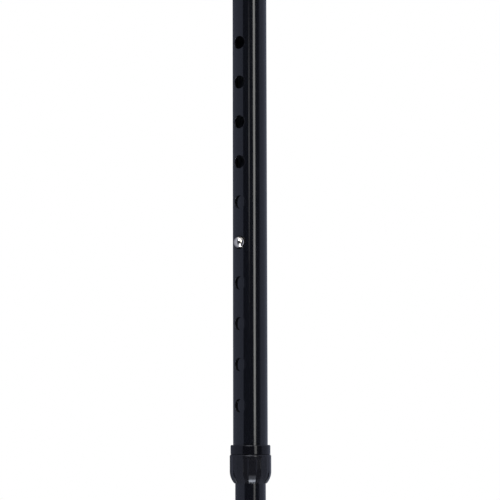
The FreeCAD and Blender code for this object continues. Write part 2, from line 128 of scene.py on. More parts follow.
# Baked gloss enamel on drawn aluminium tube: a deep, nearly mirror-smooth blue-black with the
# faint long waviness that spraying leaves.
def glossEnamel():
    look = {"colour": "#08090d", "rough": (0.09, 0.13), "wave": 9 * mm, "depth": 0.015 * mm}
    material, tree, shader, place = newMaterial(
        "glossBlackEnamel", **{"Base Color": linearColour(look["colour"]), "IOR": 1.5})
    wave = unevenGloss(tree, shader, place, look["wave"], look["rough"], 1.0)
    raiseBy(tree, shader, wave, look["depth"])
    return material


# The edge that a punch leaves, thinly covered by the enamel: rough, and a black a shade darker than
# the enamel, which is painted shade in the holes.
def punchedEdgeWithPaintedShade():
    # The colour is darker than the enamel's: painted shade on the hole walls and tube ends.
    look = {"colour": "#060608", "rough": (0.5, 0.65), "grain": 0.3 * mm, "depth": 0.01 * mm}
    material, tree, shader, place = newMaterial(
        "punchedEdgeAndPaintedShade", **{"Base Color": linearColour(look["colour"]), "IOR": 1.4})
    grain = unevenGloss(tree, shader, place, look["grain"], look["rough"])
    raiseBy(tree, shader, grain, look["depth"])
    return material


# Bare extruded aluminium inside the tubes, dulled by its own oxide, with draw lines along it.
def bareAluminium():
    look = {"colour": "#8d8f92", "rough": (0.42, 0.6), "line": 0.4 * mm, "length": 30 * mm}
    material, tree, shader, place = newMaterial(
        "bareTubeAluminium", **{"Base Color": linearColour(look["colour"]), "Metallic": 1.0})
    drawn = addNode(tree, "ShaderNodeMapping", links={"Vector": place},
                    inputs={"Scale": (1, 1, look["line"] / look["length"])})
    unevenGloss(tree, shader, drawn.outputs["Vector"], look["line"], look["rough"])
    return material


# Gloss powder coat on welded steel: the same black with a fine orange peel.
def powderCoat():
    look = {"colour": "#0d0d10", "rough": (0.16, 0.24), "peel": 1.8 * mm, "depth": 0.008 * mm}
    material, tree, shader, place = newMaterial(
        "blackPowderCoat", **{"Base Color": linearColour(look["colour"]), "IOR": 1.5})
    peel = unevenGloss(tree, shader, place, look["peel"], look["rough"])
    raiseBy(tree, shader, peel, look["depth"])
    return material


# Injection-moulded black acetal, from a polished or a satin tool with a very fine finish.
def mouldedAcetal(name, colour, rough):
    look = {"grain": 0.9 * mm, "depth": 0.001 * mm}
    material, tree, shader, place = newMaterial(
        name, **{"Base Color": linearColour(colour), "IOR": 1.38})
    grain = unevenGloss(tree, shader, place, look["grain"], rough)
    raiseBy(tree, shader, grain, look["depth"])
    return material


# Plated or bare steel: the metal's own colour with a mottle of cleaner and duller spots.
def steel(name, colour, rough, mottle):
    material, tree, shader, place = newMaterial(
        name, **{"Base Color": linearColour(colour), "Metallic": 1.0})
    unevenGloss(tree, shader, place, mottle, rough, 3.0)
    return material


# Moulded natural nylon: a milky off-white with a soft sheen.
def naturalNylon():
    look = {"colour": "#cfcabb", "rough": (0.38, 0.5), "grain": 0.6 * mm, "depth": 0.004 * mm}
    material, tree, shader, place = newMaterial(
        "naturalNylon", **{"Base Color": linearColour(look["colour"]), "IOR": 1.53})
    grain = unevenGloss(tree, shader, place, look["grain"], look["rough"])
    raiseBy(tree, shader, grain, look["depth"])
    return material


# Moulded rubber: an etched, matt skin of small pebbles under an uneven dusty bloom.
def mouldedRubber(name, clean, dusty, rough, pebbleSize, depth):
    material, tree, shader, place = newMaterial(
        name, **{"IOR": 1.5, "Specular IOR Level": 0.45})
    pebble = addNode(tree, "ShaderNodeTexVoronoi", links={"Vector": place},
                     inputs={"Scale": 1 / pebbleSize}, feature="SMOOTH_F1")
    raiseBy(tree, shader, pebble.outputs["Distance"], depth, sunk=True)
    bloom = unevenGloss(tree, shader, place, 14 * mm, rough, 4.0)
    shade = addNode(tree, "ShaderNodeMix", links={"Factor": bloom}, data_type="RGBA")
    shade.inputs["A"].default_value = linearColour(clean)
    shade.inputs["B"].default_value = linearColour(dusty)
    tree.links.new(shade.outputs["Result"], shader.inputs["Base Color"])
    return material


enamel = glossEnamel()
# Rough hole walls and tube ends, their darker black painted shade.
roughEdgeAndPaintedShade = punchedEdgeWithPaintedShade()
aluminium = bareAluminium()
powder = powderCoat()
polishedAcetal = mouldedAcetal("polishedBlackAcetal", "#08080b", (0.09, 0.13))
satinAcetal = mouldedAcetal("satinBlackAcetal", "#111114", (0.17, 0.23))
nickel = steel("brightNickelPlate", "#dfd8ca", (0.03, 0.07), 0.8 * mm)
zinc = steel("brightZincPlate", "#a9abad", (0.24, 0.4), 0.7 * mm)
springSteel = steel("bluedSpringSteel", "#4a4d55", (0.25, 0.4), 1.5 * mm)
nylon = naturalNylon()
gripRubber = mouldedRubber("gripRubber", "#1a1a1b", "#242425", (0.46, 0.58), 0.7 * mm, 0.03 * mm)
tipRubber = mouldedRubber("tipRubber", "#191919", "#262625", (0.6, 0.75), 0.5 * mm, 0.02 * mm)
print("materials ready")


# A patch of skin: a grid of points, whether its rows or columns close on themselves, which
# finish each strip between two rows has, and the exact normals where they are wanted.
def patch(points, aroundColumns=True, aroundRows=False, finish=0, normals=None):
    return {"points": points, "aroundColumns": aroundColumns, "aroundRows": aroundRows,
            "finish": finish, "normals": normals}


# Quads of one patch, its points numbered row by row, and the finish of each.
def patchFaces(skin, first):
    rows, columns = skin["points"].shape[:2]
    strips = rows if skin["aroundRows"] else rows - 1
    row = np.arange(strips)[:, None]
    column = np.arange(columns if skin["aroundColumns"] else columns - 1)[None, :]
    nextRow, nextColumn = (row + 1) % rows, (column + 1) % columns
    corners = [row * columns + column, row * columns + nextColumn,
               nextRow * columns + nextColumn, nextRow * columns + column]
    quads = np.stack(np.broadcast_arrays(*corners), -1).reshape(-1, 4) + first
    return quads, np.repeat(np.broadcast_to(skin["finish"], strips), column.size)


# One mesh from patches: points on the same spot are welded, a quad that lost a corner becomes
# a triangle, faces turn outwards and edges sharper than the given angle stay crisp.
def makePiece(name, skins, body, materials, replaced=(), sharp=35):
    points = np.concatenate([skin["points"].reshape(-1, 3) for skin in skins])
    weldSize = 0.01 * mm
    cells = np.round(points / weldSize).astype(np.int64)
    _, kept, welded = np.unique(cells, axis=0, return_index=True, return_inverse=True)
    welded = welded.reshape(-1)
    starts = np.cumsum([0] + [skin["points"].size // 3 for skin in skins])
    made = [patchFaces(skin, first) for skin, first in zip(skins, starts)]
    quads = welded[np.concatenate([quad for quad, _ in made])]
    finishes = np.concatenate([finish for _, finish in made])
    same = quads == np.roll(quads, -1, 1)
    whole = same.sum(1) == 0
    faces, faceFinish = quads[whole].tolist(), list(finishes[whole])
    for corner in range(4):
        chosen = same[:, corner] & (same.sum(1) == 1)
        faces += np.delete(quads[chosen], corner, 1).tolist()
        faceFinish += list(finishes[chosen])
    mesh = bpy.data.meshes.new(name)
    mesh.from_pydata(points[kept].tolist(), [], faces)
    mesh.polygons.foreach_set("material_index", np.array(faceFinish, np.int32))
    shell = bmesh.new()
    shell.from_mesh(mesh)
    bmesh.ops.recalc_face_normals(shell, faces=shell.faces)
    shell.to_mesh(mesh)
    shell.free()
    mesh.shade_smooth()
    mesh.set_sharp_from_angle(angle=math.radians(sharp))
    if skins[0]["normals"] is not None:
        normals = np.concatenate([skin["normals"].reshape(-1, 3) for skin in skins])
        mesh.normals_split_custom_set_from_vertices(normals[kept].tolist())
    for material in materials:
        mesh.materials.append(material)
    piece = bpy.data.objects.new(name, mesh)
    bpy.context.scene.collection.objects.link(piece)
    if body:
        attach(piece, body)
    if replaced:
        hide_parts(*replaced)
    return piece


# Points of a circular arc: centre + r (cos a, sin a), angles in degrees.
def arc(centre, radius, start, stop, count):
    angle = np.radians(np.linspace(start, stop, count))
    return np.stack([centre[0] + radius * np.cos(angle), centre[1] + radius * np.sin(angle)], 1)


# Straight runs joined by tangent arcs, in two or three dimensions. A bend of radius r and turn t
# starts r tan(t/2) before its corner and is centre - r inward turned through 0 to t.
# Returns the points and the direction of travel at each.
def roundedLine(corners, radii, bendSteps=5, runStep=None):
    corners = [np.array(corner, float) for corner in corners]
    points, headings = [], []
    here = corners[0]
    for k in range(1, len(corners)):
        come = corners[k] - here
        come = come / np.linalg.norm(come)
        radius = radii[k - 1] if k < len(corners) - 1 else 0
        stop = corners[k]
        if radius:
            go = corners[k + 1] - corners[k]
            go = go / np.linalg.norm(go)
            turn = math.acos(np.clip(come @ go, -1, 1))
            setback = radius * math.tan(turn / 2)
            stop = corners[k] - come * setback
        count = int(np.linalg.norm(stop - here) / runStep) + 2 if runStep else 2
        points.append(here + (stop - here) * np.linspace(0, 1, count)[:, None])
        headings.append(np.repeat(come[None], count, 0))
        here = stop
        if radius:
            inward = (go - come) / np.linalg.norm(go - come)
            centre = corners[k] + inward * radius / math.cos(turn / 2)
            swing = np.linspace(0, turn, bendSteps + 1)[1:-1, None]
            out = (stop - centre) / radius
            points.append(centre + radius * (out * np.cos(swing) + come * np.sin(swing)))
            headings.append(come * np.cos(swing) - out * np.sin(swing))
            here = corners[k] + go * setback
    return np.concatenate(points), np.concatenate(headings)


# Outline (radius, height) whose corners (radius, height, rounding) are rounded.
def profileOf(corners, steps=5):
    corners = [tuple(corner) + (0,) * (3 - len(corner)) for corner in corners]
    line, _ = roundedLine([corner[:2] for corner in corners],
                          [corner[2] for corner in corners[1:-1]], steps)
    return line


# Profile (radius, height) turned about an axis: x = r cos a, y = r sin a, z = h, then the axis
# swings from +Z to where it belongs. shape(angle, radius, height) may change the radius.
def turnedSkin(profile, centre, sides=96, axis=(0, 0, 1), shape=None, closed=True):
    angle = np.linspace(0, 2 * np.pi, sides, endpoint=False)[None, :]
    radius = profile[:, 0][:, None] + 0 * angle
    height = profile[:, 1][:, None] + 0 * angle
    if shape:
        radius = shape(angle + 0 * radius, radius, height)
    local = np.stack([radius * np.cos(angle), radius * np.sin(angle), height], -1)
    swing = np.array(Vector((0, 0, 1)).rotation_difference(Vector(axis)).to_matrix())
    return patch(local @ swing.T + np.array(centre), aroundRows=closed)


# Circle carried along a line: p + r (cos a n1 + sin a n2), n1 and n2 square to the line.
def pipeSkin(line, headings, radius, across, sides=64, closed=False):
    first = np.cross(headings, np.array(across, float))
    first = first / np.linalg.norm(first, axis=1)[:, None]
    second = np.cross(headings, first)
    angle = np.linspace(0, 2 * np.pi, sides, endpoint=False)
    radius = np.broadcast_to(np.asarray(radius, float), (len(line),))[:, None, None]
    around = (np.cos(angle)[None, :, None] * first[:, None]
              + np.sin(angle)[None, :, None] * second[:, None])
    return patch(line[:, None] + radius * around, aroundRows=closed)


shaft = {"wall": 1.2 * mm, "holePitch": 25.4 * mm, "holesAbove": 5, "holesBelow": 4,
         "holeRadius": 4.1 * mm, "buttonHole": 3.9 * mm, "rimRounding": 0.3 * mm,
         "rimBends": (22.5, 45, 67.5, 90), "window": math.radians(45), "windowSteps": 24,
         "restSteps": 72, "pitchSteps": 14, "lowerStep": 5 * mm, "upperStep": 6 * mm,
         "bendSteps": 20, "rings": (1.0, 0.65, 0.4, 0.2, 0.08, 0.0)}
holeHeights = buttonHeight + shaft["holePitch"] * np.arange(
    shaft["holesAbove"], -shaft["holesBelow"] - 1, -1)


# Point and outward normal of the straight tube; angle 0 faces -Y and grows towards +X.
def onTube(radius, angle, height):
    outward = np.stack([np.sin(angle), -np.cos(angle), 0 * angle], -1)
    foot = np.stack([shaftX + 0 * angle, shaftY + 0 * angle, height + 0 * angle], -1)
    return foot + radius * outward, outward


# The skin round one hole: rings run from a square window on the outside to the hole's rounded
# rim, through the wall, and out again to a window on the inside. At the hole x = r cos t,
# z = r sin t, and y follows from the tube's own circle.
def holePatch(outer, inner, holeRadius, centre):
    window, across, up = shaft["window"], shaft["windowSteps"], shaft["pitchSteps"]
    half = shaft["holePitch"] / 2
    side = np.linspace(-window, window, across + 1)
    rise = np.linspace(-half, half, up + 1)
    stillSide, stillRise = 0 * side[1:], 0 * rise[1:]
    angle = np.concatenate([stillRise + window, side[:0:-1], stillRise - window, side[:-1]])
    height = np.concatenate([rise[:-1], stillSide + half, rise[:0:-1], stillSide - half])
    turn = np.arctan2(height, angle * outer)
    intoHole = np.stack([-np.cos(turn), 0 * turn, -np.sin(turn)], -1)
    rows, normals = [], []

    def skinRow(radius, rim, share, facing):
        rimAngle = np.arcsin(rim * np.cos(turn) / radius)
        rimHeight = rim * np.sin(turn)
        spot, outward = onTube(radius, rimAngle + (angle - rimAngle) * share,
                               centre + rimHeight + (height - rimHeight) * share)
        rows.append(spot)
        normals.append(outward * facing)

    rounding = shaft["rimRounding"]
    for share in shaft["rings"]:
        skinRow(outer, holeRadius + rounding, share, 1)
    for bend in np.radians(shaft["rimBends"]):
        rim = holeRadius + rounding * (1 - math.sin(bend))
        spot, outward = onTube(outer, np.arcsin(rim * np.cos(turn) / outer),
                               centre + rim * np.sin(turn))
        rows.append(spot + [0, rounding * (1 - math.cos(bend)), 0])
        normals.append(outward * math.cos(bend) + intoHole * math.sin(bend))
    skinRow(inner, holeRadius, 0, -1)
    normals[-1] = intoHole
    for share in shaft["rings"][-2::-1]:
        skinRow(inner, holeRadius, share, -1)
    rings, bends = len(shaft["rings"]), len(shaft["rimBends"])
    # Finish 1, the hole's wall, takes the rough edge whose darker black is painted shade.
    finish = [0] * (rings + bends - 1) + [1] + [2] * (rings - 1)
    return patch(np.stack(rows), finish=np.array(finish), normals=np.stack(normals))


# Closed tube with holes on its -Y side. Above the holes it follows a line: a skin point is
# p + r (sin a s - cos a y), where s is square to the line and to Y.
def drilledTube(name, outer, holeRadius, heights, low, line, headings, body, replaced):
    inner = outer - shaft["wall"]
    skins = [holePatch(outer, inner, holeRadius, height) for height in heights]
    window = shaft["window"]
    rest = np.linspace(window, 2 * np.pi - window, shaft["restSteps"] + 1)
    front = np.linspace(-window, window, shaft["windowSteps"] + 1)
    allRound = np.concatenate([front[:-1], rest[:-1]])
    bottom = min(heights) - shaft["holePitch"] / 2
    top = max(heights) + shaft["holePitch"] / 2
    beside = np.linspace(bottom, top, len(heights) * shaft["pitchSteps"] + 1)
    below = np.linspace(low, bottom, int((bottom - low) / shaft["lowerStep"]) + 2)
    sideways = np.stack([headings[:, 2], 0 * headings[:, 2], -headings[:, 0]], -1)
    aroundLine = (np.sin(allRound)[None, :, None] * sideways[:, None]
                  - np.cos(allRound)[None, :, None] * np.array([0, 1.0, 0]))
    for radius, facing, finish in ((outer, 1, 0), (inner, -1, 2)):
        for angles, levels, closed in ((rest, beside, False), (allRound, below, True)):
            spot, outward = onTube(radius, *np.meshgrid(angles, levels))
            skins.append(patch(spot, closed, finish=finish, normals=outward * facing))
        skins.append(patch(line[:, None] + radius * aroundLine, finish=finish,
                           normals=aroundLine * facing))
    for foot, heading, around in ((np.array([shaftX, shaftY, low]), (0, 0, -1.0), aroundLine[0]),
                                  (line[-1], headings[-1], aroundLine[-1])):
        rim = np.stack([foot + outer * around, foot + inner * around])
        skins.append(patch(rim, finish=1, normals=np.broadcast_to(np.array(heading), rim.shape)))
    return makePiece(name, skins, body, [enamel, roughEdgeAndPaintedShade, aluminium], replaced)


neck = {"lean": math.radians(42), "firstBend": 55 * mm, "secondBend": 42 * mm,
        "topBend": 34 * mm, "upright": 12 * mm}


# Outer tube: ten holes, then a swan neck and the level end inside the grip.
def outerShaft():
    reach = upperHigh[0] - upperRadius
    lean, first, second = neck["lean"], neck["firstBend"], neck["secondBend"]
    slant = (reach - shaftX - (first + second) * (1 - math.cos(lean))) / math.sin(lean)
    elbow = gripHeight - neck["topBend"] - neck["upright"] - second * math.tan(lean / 2)
    kneeToElbow = slant + (first + second) * math.tan(lean / 2)
    knee = elbow - kneeToElbow * math.cos(lean)
    top = max(holeHeights) + shaft["holePitch"] / 2
    corners = [(shaftX, shaftY, top), (shaftX, shaftY, knee), (reach, shaftY, elbow),
               (reach, shaftY, gripHeight), (upperLow[0], shaftY, gripHeight)]
    line, headings = roundedLine(corners, [first, second, neck["topBend"]],
                                 shaft["bendSteps"], shaft["upperStep"])
    drilledTube("outerShaft", upperRadius, shaft["holeRadius"], holeHeights, upperLow[2],
                line, headings, "upper_shaft", ["upper_tube"])


# Inner tube with the one hole that the button stands in.
def innerShaft():
    top = buttonHeight + shaft["holePitch"] / 2
    line, headings = roundedLine([(shaftX, shaftY, top), (shaftX, shaftY, lowerHigh[2])], [],
                                 runStep=shaft["upperStep"])
    drilledTube("innerShaft", lowerRadius, shaft["buttonHole"], np.array([buttonHeight]),
                lowerLow[2], line, headings, "lower_shaft", ["lower_tube"])


outerShaft()
innerShaft()
print("shaft ready")


button = {"radius": 3.8 * mm, "flange": 0.8 * mm, "edge": 0.2 * mm, "domeSteps": 24,
          "sides": 64}


# Domed pin: a flange behind the tube's wall, a cylinder and half a ball, turned about -Y.
def snapButton():
    low, high = boxOf("lock_button")
    radius, edge = button["radius"], button["edge"]
    flange = (high[0] - low[0]) / 2
    inside, tip = shaftY - high[1], shaftY - low[1]
    profile = np.concatenate([
        [[0, inside], [flange - edge, inside], [flange, inside + edge],
         [flange, inside + button["flange"]], [radius, inside + button["flange"] + edge]],
        arc((0, tip - radius), radius, 0, 90, button["domeSteps"])])
    skin = turnedSkin(profile, (shaftX, shaftY, buttonHeight), button["sides"], (0, -1, 0),
                      closed=False)
    makePiece("snapButton", [skin], "snap_button", [nickel], ["lock_button"])


# Centre line of the leaf: y off the shaft's axis and z off the button, from behind the button
# down to the fold and up to the far wall.
spring = {"line": [(-5.55, 7), (-5.55, -12), (0, -52.8), (7.15, 2)], "bends": (24, 0.9),
          "thick": 0.5 * mm, "width": 6 * mm, "bevel": 0.1 * mm, "reach": (-10 * mm, -44 * mm),
          "step": 1.5 * mm, "bendSteps": 16}


# A flat strip carried along its centre line.
def springLeaf(name, line, headings, body, replaced):
    halfX, half, bevel = spring["width"] / 2, spring["thick"] / 2, spring["bevel"]
    outline = np.array([(halfX, half - bevel), (halfX - bevel, half), (bevel - halfX, half),
                        (-halfX, half - bevel), (-halfX, bevel - half), (bevel - halfX, -half),
                        (halfX - bevel, -half), (halfX, bevel - half)])
    line, headings = (np.concatenate([rows[:1], rows, rows[-1:]]) for rows in (line, headings))
    size = np.ones((len(line), 1))
    size[[0, -1]] = 0
    x = size * outline[:, 0]
    y = line[:, :1] - headings[:, 1:] * size * outline[:, 1]
    z = line[:, 1:] + headings[:, :1] * size * outline[:, 1]
    skin = patch(np.stack([shaftX + x, shaftY + y, buttonHeight + z], -1))
    return makePiece(name, [skin], body, [springSteel], replaced)


# Folded leaf spring: the leaf behind the button bends down to the fold; the fold and the leaf
# at the far wall stay in the tube.
def leafSpring():
    line, headings = roundedLine(np.array(spring["line"]) * mm,
                                 [bend * mm for bend in spring["bends"]],
                                 spring["bendSteps"], spring["step"])
    fold = line[:, 1].argmin()
    leaf = springLeaf("springLeaf", line[:fold + 1], headings[:fold + 1], None, ["button_spring"])
    springLeaf("springSeat", line[fold:], headings[fold:], "lower_shaft", None)
    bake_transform(leaf)


ferrule = {"rounding": 0.7 * mm, "lowerRounding": 0.15 * mm, "lowerLand": 0.4 * mm,
           "upperLand": 0.2 * mm, "nutGap": 0.05 * mm, "skirtRadius": 11.7 * mm,
           "skirtLead": 0.5 * mm, "threadPitch": 1 * mm, "threadDepth": 0.45 * mm, "sides": 128}


# Smooth ring at the outer tube's end, and below it the threaded skirt that the nut climbs.
def ferruleRing():
    low, high = boxOf("tube_ferrule")
    ring = (high[0] - low[0]) / 2
    nutTop = boxOf("lock_nut")[1][2]
    bore, skirt = upperRadius - shaft["wall"], ferrule["skirtRadius"]
    first = low[2] + ferrule["threadPitch"]
    turns = int((nutTop - first) / ferrule["threadPitch"] * 2) - 1
    threads = [(skirt - ferrule["threadDepth"] * (k % 2), first + ferrule["threadPitch"] / 2 * k)
               for k in range(turns)]
    seat, step, rounding = upperLow[2], nutTop + ferrule["nutGap"], ferrule["rounding"]
    profile = profileOf(
        [(bore, seat), (bore, low[2]), (skirt - ferrule["skirtLead"], low[2]), *threads,
         (skirt, step), (ring, step, ferrule["lowerRounding"]),
         (ring, nutTop + ferrule["lowerLand"]), (ring, high[2] - rounding - ferrule["upperLand"]),
         (ring, high[2], rounding), (upperRadius, high[2]), (upperRadius, seat)])
    skin = turnedSkin(profile, (shaftX, shaftY, 0), ferrule["sides"])
    makePiece("ferruleRing", [skin], "upper_shaft", [polishedAcetal],
              ["tube_ferrule"])


nut = {"ribs": 10, "ribDirection": 44.5, "flatHalf": 10.5, "grooveWall": 2.5, "taper": 7.4 * mm,
       "foot": 10.1 * mm, "bodyGroove": 0.3 * mm, "taperGroove": 0.9 * mm, "rounding": 1.1 * mm,
       "rimHeight": 1.2 * mm, "fade": 1 * mm, "bore": 11.8 * mm,
       "boreChamfer": (0.2 * mm, 0.3 * mm), "ringRoom": 11.4 * mm,
       "roomHeights": (4 * mm, 8.6 * mm), "mouthGap": 0.1 * mm,
       "mouthChamfer": 0.3 * mm, "wall": 0.35 * mm, "turnHigh": 0.6 * mm, "sides": 360}


# Ribbed nut. Over a rib the radius is r cos(f) / cos(a), a flat whose edges stand at angle f
# either side; between ribs a steep-walled groove cuts in, deeper down the rounded taper.
def collarNut():
    low, high = boxOf("lock_nut")
    radius, height = (high[0] - low[0]) / 2, high[2] - low[2]
    taper, foot = nut["taper"], nut["foot"]
    inset = radius - foot
    taperRadius = (inset ** 2 + taper ** 2) / (2 * inset)
    tilt = math.degrees(math.asin(taper / taperRadius))
    bore, mouth, rounding = nut["bore"], lowerRadius + nut["mouthGap"], nut["rounding"]
    rimLow, fade, chamfer = height - nut["rimHeight"], nut["fade"], nut["mouthChamfer"]
    across, down = nut["boreChamfer"]
    room, (roomLow, roomHigh) = nut["ringRoom"], nut["roomHeights"]
    side = arc((radius - taperRadius, taper), taperRadius, -tilt, 0, 24)
    rise = np.linspace(taper, rimLow - fade, 10)[1:]
    body = np.stack([radius + 0 * rise, rise], 1)
    rim = np.concatenate([[[radius, rimLow]],
                          arc((radius - rounding, height - rounding), rounding, 0, 90, 6),
                          [[bore + across, height], [bore, height - down]]])
    hollow = [[bore, roomHigh], [room, roomHigh], [room, roomLow], [mouth, roomLow],
              [mouth, chamfer], [foot - chamfer, 0]]
    profile = np.concatenate([side, body, rim, hollow])
    outsideRows = len(side) + len(body) + 1
    step = 2 * np.pi / nut["ribs"]
    flatHalf = math.radians(nut["flatHalf"])
    firstRib = math.radians(nut["ribDirection"] - 90)

    def ribbed(angle, r, z):
        off = np.abs((angle - firstRib + step / 2) % step - step / 2)
        share = np.clip((off - flatHalf) / math.radians(nut["grooveWall"]), 0, 1)
        flat = np.where(off < flatHalf, r * math.cos(flatHalf) / np.cos(off), r)
        lower = np.clip((taper + nut["turnHigh"] - z) / taper, 0, 1) ** 0.6
        depth = nut["bodyGroove"] + (nut["taperGroove"] - nut["bodyGroove"]) * lower
        cut = (r - flat + depth * share) * np.clip((rimLow - z) / fade, 0, 1)
        outside = np.arange(len(profile))[:, None] < outsideRows
        return np.where(outside, np.maximum(r - cut, mouth + nut["wall"]), r)

    skin = turnedSkin(profile, (shaftX, shaftY, low[2]), nut["sides"], shape=ribbed)
    makePiece("collarNut", [skin], "collar_nut", [satinAcetal], ["lock_nut"], 24)


snapButton()
leafSpring()
ferruleRing()
collarNut()
print("button and collar ready")


grip = {"palm": 16.5 * mm, "swell": 1 * mm, "swellStart": 11 * mm, "swellStop": 13 * mm,
        "fingerPitch": 23 * mm, "firstFinger": 25 * mm, "fingerHalf": 10 * mm,
        "fingerDepth": 2.2 * mm, "ribs": 72, "ribDepth": 0.45 * mm, "fluteStart": 12 * mm,
        "fluteStop": 14 * mm, "fluteFade": 3 * mm, "seamHeight": 0.25 * mm,
        "seamHalf": math.radians(1.6), "endFlange": 1.2 * mm, "endRounding": 5 * mm,
        "cap": 6 * mm, "boreWall": 2 * mm, "rows": 150, "sides": 432}


# Grip along -X. Its radius is a palm swell between two flanges, less a raised cosine for each
# finger round the underside, less fine flutes over the palm side, plus the moulding seam.
def handGrip():
    length, flange = gripHigh[0] - gripLow[0], (gripHigh[1] - gripLow[1]) / 2
    waist, swellStop = grip["palm"] - grip["swell"], length - grip["swellStop"]
    fluteStart, fluteStop = grip["fluteStart"], length - grip["fluteStop"]
    half = (length - 22 * mm) / 2
    along = np.linspace(grip["swellStart"], swellStop, grip["rows"])
    swell = waist + grip["swell"] * (1 - ((along - 10 * mm - half) / (half + 2 * mm)) ** 2)
    bore, cap, endFlange = upperRadius, length - grip["cap"], waist + grip["endFlange"]
    start = profileOf([(bore, cap), (bore, 0), (flange, 0, 1.8 * mm), (flange, 5 * mm, 2 * mm),
                       (waist + 0.2 * mm, 9 * mm, 2 * mm), (swell[0], along[0])], 7)
    finish = profileOf([(swell[-1], swellStop), (endFlange, length - 8 * mm, 3 * mm),
                        (endFlange, length, grip["endRounding"]), (6 * mm, length, 0.5 * mm),
                        (5 * mm, length - 0.8 * mm, 0.5 * mm), (0, length - 0.8 * mm)], 9)
    profile = np.concatenate([start[:-1], np.stack([swell, along], 1), finish[1:],
                              [[0, cap], [bore, cap]]])

    def shaped(angle, r, z):
        under = np.clip(np.cos(angle), 0, 1) ** 1.5
        near = (z - grip["firstFinger"] + grip["fingerPitch"] / 2) % grip["fingerPitch"]
        off = np.minimum(np.abs(near - grip["fingerPitch"] / 2) / grip["fingerHalf"], 1)
        fingers = grip["fingerDepth"] * (1 + np.cos(np.pi * off)) / 2 * under
        edge = (np.clip((z - fluteStart) / grip["fluteFade"], 0, 1)
                * np.clip((fluteStop - z) / grip["fluteFade"], 0, 1))
        palmSide = np.clip((-np.cos(angle) + 0.35) / 0.25, 0, 1)
        flutes = grip["ribDepth"] * (1 - np.cos(grip["ribs"] * angle)) / 2 * edge * palmSide
        aside = (angle + np.pi / 2) % np.pi / grip["seamHalf"]
        aside = np.minimum(aside, np.pi / grip["seamHalf"] - aside)
        seam = grip["seamHeight"] * np.clip(1 - aside, 0, 1)
        outside = r > bore + grip["boreWall"]
        inFingers = (z > fluteStart) & (z < swellStop)
        return r + np.where(outside, seam - flutes - np.where(inFingers, fingers, 0), 0)

    skin = turnedSkin(profile, (0, 0, 0), grip["sides"], shape=shaped)
    x, y, z = np.moveaxis(skin["points"], -1, 0)
    skin["points"] = np.stack([gripHigh[0] - z, shaftY + y, gripHeight - x], -1)
    makePiece("handGrip", [skin], "upper_shaft", [gripRubber], ["handle_grip"], 50)


handGrip()
print("grip ready")


legs = {"radius": 7.95 * mm, "shoulder": 34 * mm, "splay": 22 * mm, "straddle": 24 * mm,
        "bendSteps": 24, "step": 8 * mm}


# Where a leg tube runs level past the socket: its middle in x, on the side towards the socket.
def levelRun(node):
    low, high = boxOf(node)
    return low[0] + legs["radius"] if node.startswith("front") else high[0] - legs["radius"]


# Bent tube from foot to foot, level past the socket, closed at its ends inside the rubber.
def legTube(name, node, tips):
    low, high = boxOf(node)
    radius = legs["radius"]
    level = high[2] - radius
    left, right = (middleOf(tip)[:2] for tip in tips)
    nearHub = levelRun(node)
    corners = [(*left, low[2]), (*left, level), (nearHub, shaftY + legs["straddle"], level),
               (nearHub, shaftY - legs["straddle"], level), (*right, level), (*right, low[2])]
    radii = [legs["shoulder"], legs["splay"], legs["splay"], legs["shoulder"]]
    line, headings = roundedLine(corners, radii, legs["bendSteps"], legs["step"])
    line = np.concatenate([line[:1], line, line[-1:]])
    headings = np.concatenate([headings[:1], headings, headings[-1:]])
    size = np.full(len(line), radius)
    size[[0, -1]] = 0
    skin = pipeSkin(line, headings, size, (1, 0, 0))
    makePiece(name, [skin], "lower_shaft", [powder], [node])


foot = {"neckWall": 3 * mm, "waist": 3.2 * mm, "ridges": 3, "ridgePitch": 5 * mm,
        "ridgeHeight": 0.6 * mm, "firstRidge": 14 * mm, "treadDepth": 0.8 * mm,
        "treadRings": (4 * mm, 5.5 * mm, 8.5 * mm, 10 * mm), "treadEdge": 0.2 * mm,
        "floor": 5.5 * mm, "sides": 96}


# Rubber foot: tread rings below, a rolled sole, a tapered neck with three ridges and a lip.
def rubberFoot(name, node):
    low, high = boxOf(node)
    sole, height = (high[0] - low[0]) / 2, high[2] - low[2]
    leg = legs["radius"]
    top, waist = leg + foot["neckWall"], sole - foot["waist"]
    ridges = []
    for k in range(foot["ridges"]):
        z = foot["firstRidge"] + foot["ridgePitch"] * k
        r = waist + (top - waist) * (z - 9 * mm) / (height - 11 * mm)
        out = foot["ridgeHeight"]
        ridges += [(r, z, 0.2 * mm), (r + out, z + 0.5 * mm, 0.4 * mm),
                   (r + out, z + 1.6 * mm, 0.4 * mm), (r - 0.15 * mm, z + 2.1 * mm, 0.2 * mm)]
    tread = []
    for k, ring in enumerate(foot["treadRings"]):
        wall = [(ring, 0, foot["treadEdge"]), (ring, foot["treadDepth"])]
        tread += wall if k % 2 == 0 else wall[::-1]
    profile = profileOf(
        [(0, 0), *tread, (sole, 0, 0.9 * mm), (sole, 5 * mm, 1.2 * mm),
         (sole - 1.4 * mm, 6.6 * mm, 1.2 * mm), (waist, 9.5 * mm, 1.5 * mm), *ridges,
         (top, height - 3.4 * mm, 0.5 * mm), (top + 0.5 * mm, height - 2.6 * mm, 0.6 * mm),
         (top + 0.3 * mm, height, 1.0 * mm), (leg + 0.3 * mm, height, 0.3 * mm),
         (leg, height - 0.8 * mm), (leg, foot["floor"]), (0, foot["floor"])], 4)
    skin = turnedSkin(profile, (*middleOf(node)[:2], low[2]), foot["sides"], closed=False)
    makePiece(name, [skin], "lower_shaft", [tipRubber], [node])


socket = {"clearance": 0.05 * mm, "mouthRounding": 0.7 * mm, "sides": 96}


